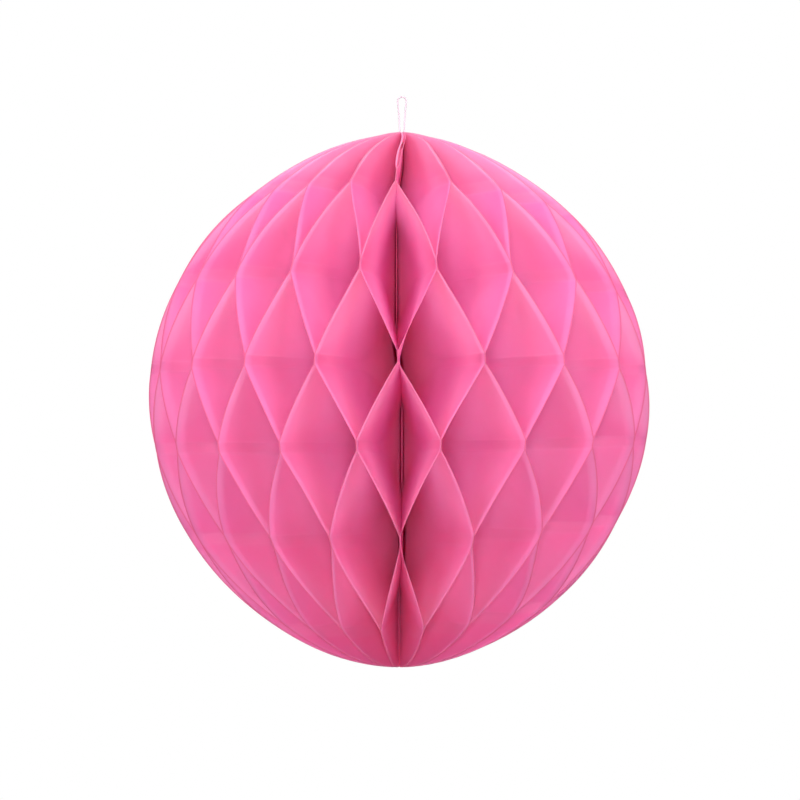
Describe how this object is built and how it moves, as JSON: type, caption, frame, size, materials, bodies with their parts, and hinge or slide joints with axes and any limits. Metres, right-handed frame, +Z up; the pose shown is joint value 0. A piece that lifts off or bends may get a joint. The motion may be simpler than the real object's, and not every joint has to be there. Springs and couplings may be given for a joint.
{
  "type": "honeycomb paper ball",
  "caption": "Round hanging decoration of half-moon tissue paper leaves, fanned round a spine thread and glued on staggered lines into open diamond cells, with a thread loop on top.",
  "frame": {"origin": "centre of the ball, on the spine, halfway between the two poles", "axes": "+Z up the spine to the hanging loop, -Y towards the front leaf pair, +X to the right of it"},
  "size_m": [0.1864, 0.1862, 0.214],
  "materials": {
    "tissue_paper": "matte translucent tissue, dyed pink",
    "thread": "twisted cotton thread, off-white"
  },
  "bodies": {
    "root": {"leaf_01": "tissue_paper", "leaf_02": "tissue_paper", "leaf_03": "tissue_paper", "leaf_04": "tissue_paper", "leaf_05": "tissue_paper", "leaf_06": "tissue_paper", "leaf_07": "tissue_paper", "leaf_08": "tissue_paper", "leaf_09": "tissue_paper", "leaf_10": "tissue_paper", "leaf_11": "tissue_paper", "leaf_12": "tissue_paper", "leaf_13": "tissue_paper", "leaf_14": "tissue_paper", "leaf_15": "tissue_paper", "leaf_16": "tissue_paper", "leaf_17": "tissue_paper", "leaf_18": "tissue_paper", "leaf_19": "tissue_paper", "leaf_20": "tissue_paper", "leaf_21": "tissue_paper", "leaf_22": "tissue_paper", "leaf_23": "tissue_paper", "leaf_24": "tissue_paper", "leaf_25": "tissue_paper", "leaf_26": "tissue_paper", "leaf_27": "tissue_paper", "leaf_28": "tissue_paper", "leaf_29": "tissue_paper", "leaf_30": "tissue_paper", "leaf_31": "tissue_paper", "leaf_32": "tissue_paper", "leaf_33": "tissue_paper", "leaf_34": "tissue_paper", "leaf_35": "tissue_paper", "leaf_36": "tissue_paper", "leaf_37": "tissue_paper", "leaf_38": "tissue_paper", "leaf_39": "tissue_paper", "leaf_40": "tissue_paper", "spine_thread": "thread", "hanging_loop": "thread"}
  },
  "joints": []
}
